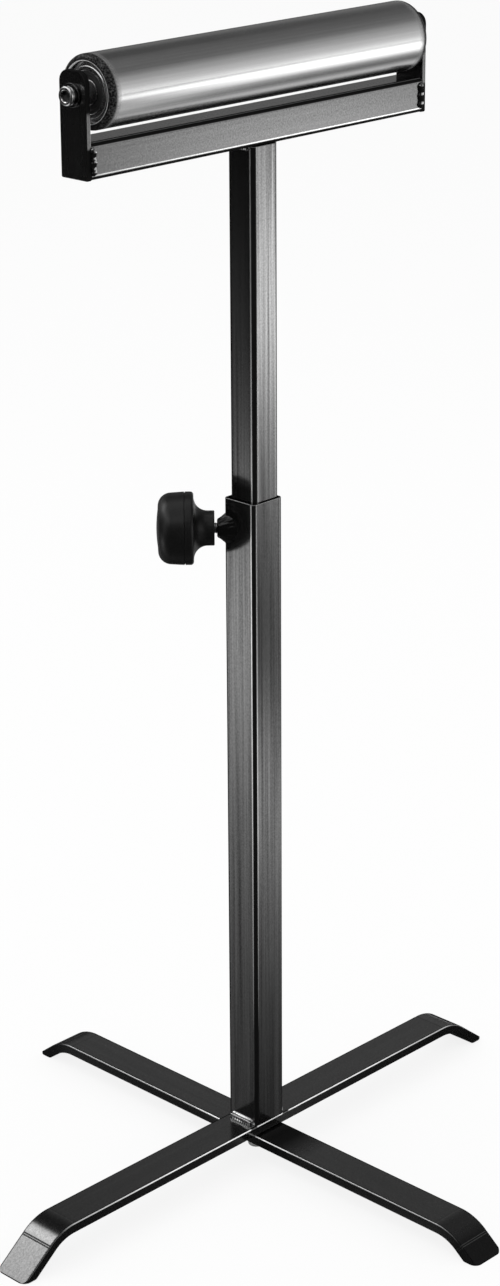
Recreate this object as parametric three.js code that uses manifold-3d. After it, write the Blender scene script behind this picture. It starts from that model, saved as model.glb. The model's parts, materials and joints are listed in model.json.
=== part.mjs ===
// Single-roller workshop stand: a cross of two bent flat bars, a telescopic square post clamped at
// its corner by a hand knob, and a welded head that carries a tube roller on two ball bearings.
// Millimetres, +Z up, floor at Z = 0, post axis at X = Y = 0, roller along X.
import * as THREE from 'three';
import { mergeVertices } from 'three/addons/utils/BufferGeometryUtils.js';
import Module from 'manifold-3d';

// Clearances, each per side
const SLIDE_GAP = 0.3; // between parts that slide or turn on each other
const HOLE_GAP = 0.4; // between a bolt and the hole that it passes
const SEAT_GAP = 0.1; // between parts pressed or screwed together
const JOINT_GAP = 0.3; // between a shaped seat and the part in it

// Base: two crossed flat bars with bent-down feet
const BAR_WIDTH = 30;
const BAR_THICKNESS = 8;
const BAR_EDGE = 1; // rounding of the long edges
const PIVOT_FLOOR_GAP = 2.6; // floor to the head of the pivot bolt
const UPPER_BAR_FLAT = 412; // straight length between the bends
const LOWER_BAR_FLAT = 392;
const FOOT_ANGLE = THREE.MathUtils.degToRad(38);
const FOOT_BEND_RADIUS = 30; // inside of the bend
const FOOT_CORNER = 6; // rounding of the tip in plan
const SPACER_DIAMETER = 24;
const SPACER_THICKNESS = 1;

// Metric 8 fasteners
const BOLT_DIAMETER = 8;
const NUT_ACROSS_FLATS = 13;
const NUT_HEIGHT = 6.5;
const NUT_CHAMFER = 0.8;
const WASHER_DIAMETER = 16;
const WASHER_THICKNESS = 1.6;
const SCREW_HEAD_DIAMETER = 13;
const SCREW_HEAD_EDGE = 0.8;
const SOCKET_ACROSS_FLATS = 6;
const SOCKET_DEPTH = 3;
const PIVOT_HEAD_HEIGHT = 8;
const PIVOT_THREAD_SHOWN = 1.5; // thread past the nut
const AXLE_HEAD_HEIGHT = 5;
const AXLE_THREAD_LENGTH = 14; // screwed into the axle
const THREAD_END_ROOM = 2; // tapped hole past the screw's end

// Telescopic post
const POST_SIZE = 30;
const POST_WALL = 1.5;
const POST_INNER_CORNER = 0.5;
const POST_LENGTH = 502;
const MAST_PLAY = 1; // room for the mast in the post, per side
const MAST_WALL = 1.5;
const MAST_INNER_CORNER = 1.5;
const MAST_LENGTH = 500;
const MAST_OVERLAP = 244; // mast length inside the post

// Corner clamp, measured outwards along the post's diagonal
const CLAMP_DROP = 23.2; // post top to the knob axis
const NUT_SINK = 0.8; // depth of the nut's seat in the post's corner
const CLAMP_WELD_ALONG = 4.8; // past the nut's points, along the post's corner
const CLAMP_WELD_ACROSS = 2.1; // past the nut's points, across the corner
const KNOB_CLEARANCE = 1.8; // nut to knob when clamped
const KNOB_DIAMETER = 53;
const KNOB_NECK_DIAMETER = 25.4;
const KNOB_NECK_LENGTH = 15;
const KNOB_FILLET = 10;
const KNOB_RING_WIDTH = 6.2;
const KNOB_RING_EDGE = 2.3;
const KNOB_SPIGOT_LENGTH = 4;
const KNOB_SEAM = 0.5; // groove between ring and cap
const CAP_LENGTH = 20.2;
const CAP_WALL = 2.5;
const CAP_EDGE = 7.3;
const CAP_DRAFT = 1.2; // taper of the cap's side, on the radius
const CAP_DOME = 1.3; // rise of its face
const STUD_COVER = 5.1; // plastic past the stud's end

// Head
const RAIL_SIZE = 25;
const RAIL_WALL = 1.5;
const RAIL_INNER_CORNER = 1.5;
const RAIL_LENGTH = 326;
const PLATE_THICKNESS = 4;
const PLATE_WIDTH = 25;
const PLATE_RISE = 16; // roller axis to the plate's top
const PLATE_CORNER = 8;
const PLATE_EDGE = 0.5;
const ROLLER_RAIL_GAP = 5; // rail top to the roller

// Roller
const ROLLER_DIAMETER = 50;
const ROLLER_END_GAP = 8; // end plate to the roller
const ROLLER_WALL = 2;
const ROLLER_END_BEND = 1.5; // inside radius of the rolled-in end
const AXLE_DIAMETER = 12;
const AXLE_STEP = 2; // shoulder behind the bearing
const BEARING_DIAMETER = 28;
const BEARING_WIDTH = 8;
const BEARING_RECESS = 2; // roller end to the bearing's face
const RACE_THICKNESS = 2.2;
const SEAL_THICKNESS = 0.8;
const END_CAP_WALL = 1.5;
const END_CAP_RECESS = 4; // roller end to the cap's flat web
const END_CAP_LAND = 3.6; // raised ring round the bearing
const END_CAP_LAND_RECESS = 1.3;
const END_CAP_SKIRT = 10; // length pressed into the tube
const BUSH_WALL = 1.9;

// Weld beads
const FOOT_WELD_RADIUS = 5;
const FOOT_WELD_INSET = 2; // from the bar's edges
const MAST_WELD_RADIUS = 3.2;
const MAST_WELD_INSET = 2.5; // from the mast's edges
const PLATE_WELD_RADIUS = 2.6;
const PLATE_WELD_INSET = 3; // from the rail's edges
const PLATE_WELD_SHIFT = 1.5; // from the seam towards the rail's middle

// Facets of the round forms
const ROUND = 36;
const SMALL_ROUND = 24;
const ARC_STEPS = 2; // an arc has twice as many segments
const MERGE_TOLERANCE = 1e-4;

// Places that follow from the sizes above
const lowerBarBottom = PIVOT_FLOOR_GAP + PIVOT_HEAD_HEIGHT + WASHER_THICKNESS;
const lowerBarTop = lowerBarBottom + BAR_THICKNESS;
const upperBarBottom = lowerBarTop + SPACER_THICKNESS;
const upperBarTop = upperBarBottom + BAR_THICKNESS;
const postTop = upperBarTop + POST_LENGTH;
const mastSize = POST_SIZE - 2 * (POST_WALL + MAST_PLAY);
const mastShift = MAST_PLAY - SLIDE_GAP; // the screw presses the mast into the far corner
const railBottom = postTop + MAST_LENGTH - MAST_OVERLAP;
const axleZ = railBottom + RAIL_SIZE + ROLLER_RAIL_GAP + ROLLER_DIAMETER / 2;
const boltHoleRadius = BOLT_DIAMETER / 2 + HOLE_GAP;
const threadHoleRadius = BOLT_DIAMETER / 2 + SEAT_GAP;
const nutCorner = NUT_ACROSS_FLATS / Math.sqrt(3);
const cornerReach = (size, corner) => (size / 2 - corner) * Math.SQRT2 + corner;

const wasm = await Module();
wasm.setup();

function weld(geometry) {
  // Shared corners, without the flat triangles at a revolved profile's poles
  const bare = geometry.clone();
  bare.deleteAttribute('normal');
  bare.deleteAttribute('uv');
  const merged = mergeVertices(bare, MERGE_TOLERANCE);
  const index = merged.index.array;
  const kept = [];
  for (let i = 0; i < index.length; i += 3) {
    const [a, b, c] = index.slice(i, i + 3);
    if (a !== b && b !== c && c !== a) kept.push(a, b, c);
  }
  merged.setIndex(kept);
  return merged;
}

function toManifold(geometry) {
  const merged = weld(geometry);
  return new wasm.Manifold(new wasm.Mesh({
    numProp: 3,
    vertProperties: new Float32Array(merged.attributes.position.array),
    triVerts: new Uint32Array(merged.index.array),
  }));
}

function toGeometry(manifold) {
  const { vertProperties, triVerts } = manifold.getMesh();
  const geometry = new THREE.BufferGeometry();
  geometry.setAttribute('position', new THREE.BufferAttribute(vertProperties, 3));
  geometry.setIndex(new THREE.BufferAttribute(triVerts, 1));
  return geometry;
}

const cut = (body, ...tools) =>
  toGeometry(tools.reduce((rest, tool) => rest.subtract(toManifold(tool)), toManifold(body)));

const common = (body, ...tools) =>
  toGeometry(tools.reduce((rest, tool) => rest.intersect(toManifold(tool)), toManifold(body)));

function trace(path, steps) {
  for (const [kind, ...values] of steps) path[kind](...values);
  return path;
}

function revolve(steps, segments) {
  // Revolves a profile of (radius, height) about Y, drawn with its outside going up
  const path = trace(new THREE.Path(), steps);
  return weld(new THREE.LatheGeometry(path.getPoints(ARC_STEPS), segments));
}

function ring(inner, outer, from, to, segments = SMALL_ROUND) {
  return revolve([
    ['moveTo', inner, from],
    ['lineTo', outer, from],
    ['lineTo', outer, to],
    ['lineTo', inner, to],
    ['lineTo', inner, from],
  ], segments);
}

function rod(radius, from, to, segments = SMALL_ROUND) {
  return revolve([
    ['moveTo', 0, from],
    ['lineTo', radius, from],
    ['lineTo', radius, to],
    ['lineTo', 0, to],
  ], segments);
}

function hexRod(acrossFlats, from, to) {
  const sides = 6;
  const corner = acrossFlats / Math.sqrt(3);
  const prism = new THREE.CylinderGeometry(corner, corner, to - from, sides);
  return prism.translate(0, (from + to) / 2, 0);
}

function roundedBox(target, width, height, upperRadius, lowerRadius = upperRadius) {
  // Outline of a rectangle about the origin, whose upper and lower corners may differ
  const quarter = Math.PI / 2;
  const corners = [[1, -1], [1, 1], [-1, 1], [-1, -1]];
  return trace(target, corners.map(([x, y], turn) => {
    const radius = y > 0 ? upperRadius : lowerRadius;
    const centre = [x * (width / 2 - radius), y * (height / 2 - radius)];
    return ['absarc', ...centre, radius, (turn - 1) * quarter, turn * quarter];
  }));
}

function squareTube(size, wall, innerCorner, length) {
  const shape = roundedBox(new THREE.Shape(), size, size, innerCorner + wall);
  const bore = size - 2 * wall;
  shape.holes.push(roundedBox(new THREE.Path(), bore, bore, innerCorner));
  return new THREE.ExtrudeGeometry(shape, {
    depth: length,
    bevelEnabled: false,
    curveSegments: ARC_STEPS,
  });
}

function block(x0, x1, y0, y1, z0, z1) {
  const box = new THREE.BoxGeometry(x1 - x0, y1 - y0, z1 - z0);
  return box.translate((x0 + x1) / 2, (y0 + y1) / 2, (z0 + z1) / 2);
}

const alongX = (geometry) => geometry.rotateZ(-Math.PI / 2);
const alongZ = (geometry) => geometry.rotateX(Math.PI / 2);
const alongDiagonal = (geometry) => geometry.rotateZ(Math.PI / 4);

// Finishes
const finish = (color, roughness, metalness) =>
  new THREE.MeshStandardMaterial({ color, roughness, metalness });
const blackPaint = finish(0x161616, 0.35, 0);
const blackPlastic = finish(0x131313, 0.5, 0);
const brightSteel = finish(0xc9c9c9, 0.28, 1);
const zincSteel = finish(0xb4b4b4, 0.35, 1);
const darkSteel = finish(0x3a3a3a, 0.45, 1);
const sealRubber = finish(0x1c1c1c, 0.6, 0);

const stand = new THREE.Group();

function add(parent, name, geometry, material) {
  const mesh = new THREE.Mesh(weld(geometry), material);
  mesh.name = name;
  parent.add(mesh);
}

function bentBar(flatLength, top) {
  // Side view of a flat bar whose ends bend down to the floor, extruded across its width
  const half = flatLength / 2;
  const outer = FOOT_BEND_RADIUS + BAR_THICKNESS;
  const centre = top - outer;
  const up = Math.PI / 2;
  const tip = (radius) =>
    half + radius * Math.sin(FOOT_ANGLE) + (centre + radius * Math.cos(FOOT_ANGLE)) / Math.tan(FOOT_ANGLE);
  const [heel, toe] = [tip(FOOT_BEND_RADIUS), tip(outer)];
  const side = trace(new THREE.Shape(), [
    ['moveTo', heel, 0],
    ['lineTo', toe, 0],
    ['absarc', half, centre, outer, up - FOOT_ANGLE, up],
    ['absarc', -half, centre, outer, up, up + FOOT_ANGLE],
    ['lineTo', -toe, 0],
    ['lineTo', -heel, 0],
    ['absarc', -half, centre, FOOT_BEND_RADIUS, up + FOOT_ANGLE, up, true],
    ['absarc', half, centre, FOOT_BEND_RADIUS, up, up - FOOT_ANGLE, true],
    ['lineTo', heel, 0],
  ]);
  const strip = new THREE.ExtrudeGeometry(side, {
    depth: BAR_WIDTH - 2 * BAR_EDGE,
    bevelSize: BAR_EDGE,
    bevelThickness: BAR_EDGE,
    bevelOffset: -BAR_EDGE,
    bevelSegments: 2,
    curveSegments: 2 * ARC_STEPS,
  });
  alongZ(strip.translate(0, 0, BAR_EDGE - BAR_WIDTH / 2));
  const plan = new THREE.ExtrudeGeometry(
    roundedBox(new THREE.Shape(), 2 * toe, BAR_WIDTH, FOOT_CORNER),
    { depth: top + BAR_THICKNESS, bevelEnabled: false, curveSegments: ARC_STEPS });
  const hole = alongZ(rod(boltHoleRadius, -BAR_THICKNESS, 2 * top));
  return cut(common(strip, plan), hole);
}

function washer() {
  return ring(boltHoleRadius, WASHER_DIAMETER / 2, 0, WASHER_THICKNESS);
}

function nut() {
  // Hexagon whose corners are turned off at both faces
  const turning = nutCorner + SEAT_GAP;
  const face = turning - 2 * NUT_CHAMFER;
  const turned = revolve([
    ['moveTo', threadHoleRadius, 0],
    ['lineTo', face, 0],
    ['lineTo', turning, NUT_CHAMFER],
    ['lineTo', turning, NUT_HEIGHT - NUT_CHAMFER],
    ['lineTo', face, NUT_HEIGHT],
    ['lineTo', threadHoleRadius, NUT_HEIGHT],
    ['lineTo', threadHoleRadius, 0],
  ], SMALL_ROUND);
  return common(hexRod(NUT_ACROSS_FLATS, 0, NUT_HEIGHT), turned);
}

function socketScrew(headHeight, shankLength) {
  // Shank up from the head's seat at height 0, head below it with a hexagon socket in its face
  const head = SCREW_HEAD_DIAMETER / 2;
  const shank = BOLT_DIAMETER / 2;
  const body = revolve([
    ['moveTo', 0, -headHeight],
    ['lineTo', head - SCREW_HEAD_EDGE, -headHeight],
    ['lineTo', head, SCREW_HEAD_EDGE - headHeight],
    ['lineTo', head, 0],
    ['lineTo', shank, 0],
    ['lineTo', shank, shankLength - SCREW_HEAD_EDGE],
    ['lineTo', shank - SCREW_HEAD_EDGE, shankLength],
    ['lineTo', 0, shankLength],
  ], SMALL_ROUND);
  return cut(body, hexRod(SOCKET_ACROSS_FLATS, -2 * headHeight, SOCKET_DEPTH - headHeight));
}

function bead(radius, length) {
  // Round-ended weld bead along Y, cut to a fillet or a cap by the faces that it joins
  const [capSteps, sides] = [3, 16];
  return new THREE.CapsuleGeometry(radius, length - 2 * radius, capSteps, sides);
}

function cornerBead(radius, length, side, faceX, faceZ, above) {
  // Fillet between a wall at faceX and a flat at faceZ, outside the wall and above or below the flat
  const reach = 2 * radius;
  const [x0, x1] = side > 0 ? [faceX, faceX + reach] : [faceX - reach, faceX];
  const [z0, z1] = above ? [faceZ, faceZ + reach] : [faceZ - reach, faceZ];
  const quadrant = block(x0, x1, -length, length, z0, z1);
  return common(bead(radius, length).translate(faceX, 0, faceZ), quadrant);
}

function addBase() {
  const base = new THREE.Group();
  add(base, 'base_bar_upper', bentBar(UPPER_BAR_FLAT, upperBarTop), blackPaint);
  add(base, 'base_bar_lower', bentBar(LOWER_BAR_FLAT, lowerBarTop).rotateZ(Math.PI / 2), blackPaint);

  const spacer = ring(boltHoleRadius, SPACER_DIAMETER / 2, lowerBarTop, upperBarBottom);
  add(base, 'base_spacer', alongZ(spacer), zincSteel);
  const seat = lowerBarBottom - WASHER_THICKNESS;
  add(base, 'pivot_washer', alongZ(washer()).translate(0, 0, seat), zincSteel);
  const shank = upperBarTop + NUT_HEIGHT + PIVOT_THREAD_SHOWN - seat;
  const bolt = alongZ(socketScrew(PIVOT_HEAD_HEIGHT, shank));
  add(base, 'pivot_bolt', bolt.translate(0, 0, seat), zincSteel);
  add(base, 'pivot_nut', alongZ(nut()).translate(0, 0, upperBarTop), zincSteel);

  for (const [name, side] of [['left', -1], ['right', 1]]) {
    const fillet = cornerBead(
      FOOT_WELD_RADIUS, BAR_WIDTH - 2 * FOOT_WELD_INSET, side, side * POST_SIZE / 2, upperBarTop, true);
    add(base, `post_weld_${name}`, fillet, blackPaint);
  }
  stand.add(base);
}

function addPost() {
  const clampZ = postTop - CLAMP_DROP;
  const place = (geometry) => alongDiagonal(geometry).translate(0, 0, clampZ);
  const postCorner = POST_INNER_CORNER + POST_WALL;
  const corner = cornerReach(POST_SIZE, postCorner);
  const seat = corner - NUT_SINK;
  const nutFace = seat + NUT_HEIGHT;

  const tube = squareTube(POST_SIZE, POST_WALL, POST_INNER_CORNER, POST_LENGTH)
    .translate(0, 0, upperBarTop);
  const pocket = hexRod(NUT_ACROSS_FLATS + 2 * JOINT_GAP, seat - SEAT_GAP, nutFace);
  const studHole = rod(boltHoleRadius, 0, nutFace);
  add(stand, 'outer_post', cut(tube, place(pocket), place(studHole)), blackPaint);
  add(stand, 'clamp_nut', place(nut().translate(0, seat, 0)), blackPaint);

  // Cone of weld round the nut, fitted over the post's corner
  const collarTop = nutFace - NUT_CHAMFER;
  const reach = nutCorner + CLAMP_WELD_ALONG;
  const collar = revolve([
    ['moveTo', 0, 0],
    ['lineTo', reach, 0],
    ['lineTo', reach, corner],
    ['lineTo', reach - (collarTop - corner), collarTop],
    ['lineTo', 0, collarTop],
  ], SMALL_ROUND).scale((nutCorner + CLAMP_WELD_ACROSS) / reach, 1, 1);
  const envelope = POST_SIZE + 2 * SEAT_GAP;
  const postBody = new THREE.ExtrudeGeometry(
    roundedBox(new THREE.Shape(), envelope, envelope, postCorner + SEAT_GAP),
    { depth: POST_LENGTH, bevelEnabled: false, curveSegments: ARC_STEPS });
  const core = hexRod(NUT_ACROSS_FLATS + 2 * JOINT_GAP, 0, 2 * nutFace);
  const weldRing = cut(place(collar), postBody.translate(0, 0, upperBarTop), place(core));
  add(stand, 'clamp_nut_weld', weldRing, blackPaint);
  addKnob(clampZ, nutFace);
}

function addKnob(clampZ, nutFace) {
  // The group's Y axis runs out along the post's diagonal, from the post axis to the knob
  const screw = new THREE.Group();
  screw.position.z = clampZ;
  screw.rotation.z = Math.PI / 4;
  const neckEnd = nutFace + KNOB_CLEARANCE;
  const ringBack = neckEnd + KNOB_NECK_LENGTH;
  const ringFront = ringBack + KNOB_RING_WIDTH;
  const spigotEnd = ringFront + KNOB_SPIGOT_LENGTH;
  const studEnd = spigotEnd - STUD_COVER;
  const quarter = Math.PI / 2;
  const radius = KNOB_DIAMETER / 2;
  const neck = KNOB_NECK_DIAMETER / 2;
  const shank = BOLT_DIAMETER / 2;
  const bore = shank + SEAT_GAP;

  const mastCorner = cornerReach(mastSize, MAST_INNER_CORNER + MAST_WALL) - mastShift * Math.SQRT2;
  const tip = mastCorner + SLIDE_GAP;
  const stud = revolve([
    ['moveTo', 0, tip],
    ['lineTo', shank - SCREW_HEAD_EDGE, tip],
    ['lineTo', shank, tip + SCREW_HEAD_EDGE],
    ['lineTo', shank, studEnd],
    ['lineTo', 0, studEnd],
  ], SMALL_ROUND);
  add(screw, 'clamp_stud', stud, zincSteel);

  const capInner = radius - CAP_DRAFT - CAP_WALL;
  const spigot = capInner - SEAT_GAP;
  const fillet = Math.min(KNOB_FILLET, radius - KNOB_RING_EDGE - neck);
  const knob = revolve([
    ['moveTo', 0, studEnd + SEAT_GAP],
    ['lineTo', bore, studEnd + SEAT_GAP],
    ['lineTo', bore, neckEnd],
    ['lineTo', neck, neckEnd],
    ['absarc', neck + fillet, ringBack - fillet, fillet, 2 * quarter, quarter, true],
    ['absarc', radius - KNOB_RING_EDGE, ringBack + KNOB_RING_EDGE, KNOB_RING_EDGE, -quarter, 0],
    ['lineTo', radius, ringFront],
    ['lineTo', spigot, ringFront],
    ['lineTo', spigot, spigotEnd],
    ['lineTo', 0, spigotEnd],
  ], ROUND);
  add(screw, 'knob_body', knob, blackPlastic);

  // Cup with a rounded edge and a slightly domed face
  const rim = ringFront + KNOB_SEAM;
  const shoulder = rim + CAP_LENGTH - CAP_DOME - CAP_EDGE;
  const flat = radius - CAP_DRAFT - CAP_EDGE;
  const inner = CAP_EDGE - CAP_WALL;
  const domeAt = (share) => shoulder + CAP_EDGE + CAP_DOME * (1 - share * share);
  const cup = revolve([
    ['moveTo', capInner, rim],
    ['lineTo', radius, rim],
    ['absarc', flat, shoulder, CAP_EDGE, 0, quarter],
    ['lineTo', flat / 2, domeAt(1 / 2)],
    ['lineTo', 0, domeAt(0)],
    ['lineTo', 0, domeAt(0) - CAP_WALL],
    ['lineTo', flat, shoulder + inner],
    ['absarc', flat, shoulder, inner, quarter, 0, true],
    ['lineTo', capInner, rim],
  ], ROUND);
  add(screw, 'knob_cap', cup, blackPlastic);
  stand.add(screw);
}

function addHead() {
  const head = new THREE.Group();
  head.position.set(mastShift, -mastShift, 0);
  const mast = squareTube(mastSize, MAST_WALL, MAST_INNER_CORNER, MAST_LENGTH);
  add(head, 'inner_post', mast.translate(0, 0, railBottom - MAST_LENGTH), blackPaint);

  const railEnd = RAIL_LENGTH / 2;
  const rail = squareTube(RAIL_SIZE, RAIL_WALL, RAIL_INNER_CORNER, RAIL_LENGTH).rotateY(Math.PI / 2);
  add(head, 'head_rail', rail.translate(-railEnd, 0, railBottom + RAIL_SIZE / 2), blackPaint);

  for (const [name, side] of [['left', -1], ['right', 1]]) {
    const fillet = cornerBead(
      MAST_WELD_RADIUS, mastSize - 2 * MAST_WELD_INSET, side, side * mastSize / 2, railBottom, false);
    add(head, `mast_weld_${name}`, fillet, blackPaint);
    addEndPlate(head, name, side, railEnd);
  }
  addRoller(head, railEnd);
  stand.add(head);
}

function addEndPlate(head, name, side, railEnd) {
  // Upright strip with a rounded top and broken edges, bored for the axle screw
  const height = axleZ + PLATE_RISE - railBottom;
  const outline = roundedBox(new THREE.Shape(), PLATE_WIDTH, height, PLATE_CORNER, 2 * PLATE_EDGE);
  const plate = new THREE.ExtrudeGeometry(outline, {
    depth: PLATE_THICKNESS - 2 * PLATE_EDGE,
    bevelSize: PLATE_EDGE,
    bevelThickness: PLATE_EDGE,
    bevelOffset: -PLATE_EDGE,
    bevelSegments: 1,
    curveSegments: ARC_STEPS,
  }).translate(0, 0, PLATE_EDGE - PLATE_THICKNESS / 2);
  plate.rotateX(Math.PI / 2).rotateZ(Math.PI / 2);
  const plateX = side * (railEnd + PLATE_THICKNESS / 2);
  plate.translate(plateX, 0, railBottom + height / 2);
  const hole = alongX(rod(boltHoleRadius, -PLATE_THICKNESS, PLATE_THICKNESS));
  add(head, `end_plate_${name}`, cut(plate, hole.translate(plateX, 0, axleZ)), blackPaint);

  const seam = side * (railEnd - PLATE_WELD_SHIFT);
  const middle = railBottom + RAIL_SIZE / 2;
  for (const [facing, way] of [['front', -1], ['back', 1]]) {
    const face = way * RAIL_SIZE / 2;
    const outside = way > 0 ? [face, 2 * face] : [2 * face, face];
    const strip = alongZ(bead(PLATE_WELD_RADIUS, RAIL_SIZE - 2 * PLATE_WELD_INSET));
    const cap = strip.translate(seam, face, middle);
    const half = block(seam - RAIL_SIZE, seam + RAIL_SIZE, ...outside, railBottom, railBottom + RAIL_SIZE);
    add(head, `plate_weld_${name}_${facing}`, common(cap, half), blackPaint);
  }
}

function addRoller(head, railEnd) {
  const roller = new THREE.Group();
  roller.position.z = axleZ;
  const end = railEnd - ROLLER_END_GAP;
  const quarter = Math.PI / 2;
  const outerBend = ROLLER_END_BEND + ROLLER_WALL;
  const roundAt = end - outerBend;
  const lip = ROLLER_DIAMETER / 2 - outerBend;
  const tube = revolve([
    ['moveTo', lip, -end],
    ['absarc', lip, -roundAt, outerBend, -quarter, 0],
    ['absarc', lip, roundAt, outerBend, 0, quarter],
    ['lineTo', lip, end - ROLLER_WALL],
    ['absarc', lip, roundAt, ROLLER_END_BEND, quarter, 0, true],
    ['absarc', lip, -roundAt, ROLLER_END_BEND, 0, -quarter, true],
    ['lineTo', lip, -end],
  ], ROUND);
  add(roller, 'roller_tube', alongX(tube), brightSteel);

  const bearingOut = end - BEARING_RECESS;
  const bearingIn = bearingOut - BEARING_WIDTH;
  const journal = AXLE_DIAMETER / 2;
  const shoulder = journal + AXLE_STEP;
  const tapped = AXLE_THREAD_LENGTH + THREAD_END_ROOM;
  const axle = revolve([
    ['moveTo', 0, tapped - railEnd],
    ['lineTo', threadHoleRadius, tapped - railEnd],
    ['lineTo', threadHoleRadius, -railEnd],
    ['lineTo', journal, -railEnd],
    ['lineTo', journal, -bearingIn],
    ['lineTo', shoulder, -bearingIn],
    ['lineTo', shoulder, bearingIn],
    ['lineTo', journal, bearingIn],
    ['lineTo', journal, railEnd],
    ['lineTo', threadHoleRadius, railEnd],
    ['lineTo', threadHoleRadius, railEnd - tapped],
    ['lineTo', 0, railEnd - tapped],
  ], SMALL_ROUND);
  add(roller, 'axle', alongX(axle), zincSteel);

  for (const [name, turn] of [['left', Math.PI], ['right', 0]]) {
    addRollerEnd(roller, name, turn, { end, railEnd, bearingIn, bearingOut });
  }
  head.add(roller);
}

function addRollerEnd(roller, name, turn, { end, railEnd, bearingIn, bearingOut }) {
  // Built for the right-hand end and turned half round for the left
  const side = new THREE.Group();
  side.rotation.z = turn;
  const bearing = BEARING_DIAMETER / 2;
  const journal = AXLE_DIAMETER / 2 + SEAT_GAP;
  const skirt = ROLLER_DIAMETER / 2 - ROLLER_WALL - SEAT_GAP;
  const web = end - END_CAP_RECESS;
  const cupBack = bearingIn - SEAT_GAP - END_CAP_WALL;
  const cupBore = bearing + SEAT_GAP;
  const boss = cupBore + END_CAP_LAND;
  const bossEnd = end - END_CAP_LAND_RECESS;
  const stop = bearing - RACE_THICKNESS;
  const cap = revolve([
    ['moveTo', stop, cupBack],
    ['lineTo', cupBore + END_CAP_WALL, cupBack],
    ['lineTo', cupBore + END_CAP_WALL, web - END_CAP_WALL],
    ['lineTo', skirt - END_CAP_WALL, web - END_CAP_WALL],
    ['lineTo', skirt - END_CAP_WALL, web - END_CAP_SKIRT],
    ['lineTo', skirt, web - END_CAP_SKIRT],
    ['absarc', skirt - END_CAP_WALL, web - END_CAP_WALL, END_CAP_WALL, 0, Math.PI / 2],
    ['lineTo', boss, web],
    ['absarc', boss - END_CAP_WALL, bossEnd - END_CAP_WALL, END_CAP_WALL, 0, Math.PI / 2],
    ['lineTo', cupBore, bossEnd],
    ['lineTo', cupBore, bearingIn - SEAT_GAP],
    ['lineTo', stop, bearingIn - SEAT_GAP],
    ['lineTo', stop, cupBack],
  ], ROUND);
  add(side, `roller_cap_${name}`, alongX(cap), darkSteel);

  // Sealed ball bearing: outer race with its two seals, and the inner race that they brush
  const innerRace = journal + RACE_THICKNESS;
  const sealLip = innerRace + SLIDE_GAP;
  const outerRace = bearing - RACE_THICKNESS;
  const shell = revolve([
    ['moveTo', sealLip, bearingIn],
    ['lineTo', bearing, bearingIn],
    ['lineTo', bearing, bearingOut],
    ['lineTo', sealLip, bearingOut],
    ['lineTo', sealLip, bearingOut - SEAL_THICKNESS],
    ['lineTo', outerRace, bearingOut - SEAL_THICKNESS],
    ['lineTo', outerRace, bearingIn + SEAL_THICKNESS],
    ['lineTo', sealLip, bearingIn + SEAL_THICKNESS],
    ['lineTo', sealLip, bearingIn],
  ], SMALL_ROUND);
  add(side, `bearing_shell_${name}`, alongX(shell), sealRubber);
  add(side, `bearing_race_${name}`, alongX(ring(journal, innerRace, bearingIn, bearingOut)), zincSteel);

  const bush = ring(journal, journal + BUSH_WALL, bearingOut, railEnd);
  add(side, `axle_bush_${name}`, alongX(bush), zincSteel);
  const plateFace = railEnd + PLATE_THICKNESS;
  add(side, `axle_washer_${name}`, alongX(washer().translate(0, plateFace, 0)), zincSteel);
  const grip = WASHER_THICKNESS + PLATE_THICKNESS + AXLE_THREAD_LENGTH;
  const screw = socketScrew(AXLE_HEAD_HEIGHT, grip).rotateX(Math.PI);
  const screwSeat = plateFace + WASHER_THICKNESS;
  add(side, `axle_screw_${name}`, alongX(screw.translate(0, screwSeat, 0)), zincSteel);
  roller.add(side);
}

addBase();
addPost();
addHead();

export default stand;
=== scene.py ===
# %% [markdown]
# # A roller stand for the workshop
# Two crossed flat bars carry a square post. A second tube slides in it, a knob on the corner clamps it, and a
# steel roller turns in the head. The packed model gives every size and every moving body. This lesson lays a
# fine surface over each solid, gives it a finish, and lights it the way a studio lights black paint.

# %% Load the packed stand
import json
import math

import bmesh
import bpy
import numpy as np
from mathutils import Matrix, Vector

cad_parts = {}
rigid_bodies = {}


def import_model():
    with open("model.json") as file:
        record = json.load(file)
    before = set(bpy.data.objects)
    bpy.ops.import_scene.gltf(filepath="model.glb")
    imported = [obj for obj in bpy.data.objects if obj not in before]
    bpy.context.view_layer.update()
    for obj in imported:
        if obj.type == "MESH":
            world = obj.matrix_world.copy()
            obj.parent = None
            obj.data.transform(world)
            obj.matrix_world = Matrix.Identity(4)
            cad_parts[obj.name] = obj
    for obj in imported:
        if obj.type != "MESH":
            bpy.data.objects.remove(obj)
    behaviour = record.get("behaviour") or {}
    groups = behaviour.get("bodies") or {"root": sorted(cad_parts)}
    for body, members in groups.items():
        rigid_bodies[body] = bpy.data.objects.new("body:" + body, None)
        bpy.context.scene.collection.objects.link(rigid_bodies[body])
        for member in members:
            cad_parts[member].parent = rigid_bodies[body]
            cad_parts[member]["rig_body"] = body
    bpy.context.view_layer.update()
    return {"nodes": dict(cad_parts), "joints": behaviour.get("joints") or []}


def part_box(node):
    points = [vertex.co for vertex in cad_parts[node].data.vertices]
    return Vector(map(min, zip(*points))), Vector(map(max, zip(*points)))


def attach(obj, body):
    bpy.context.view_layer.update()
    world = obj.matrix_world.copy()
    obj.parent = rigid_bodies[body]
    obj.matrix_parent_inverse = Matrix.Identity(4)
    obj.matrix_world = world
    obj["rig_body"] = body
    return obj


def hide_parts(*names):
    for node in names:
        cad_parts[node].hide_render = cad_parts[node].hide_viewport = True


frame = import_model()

MM = 0.001
joint = {row["name"]: row for row in frame["joints"]}

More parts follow.
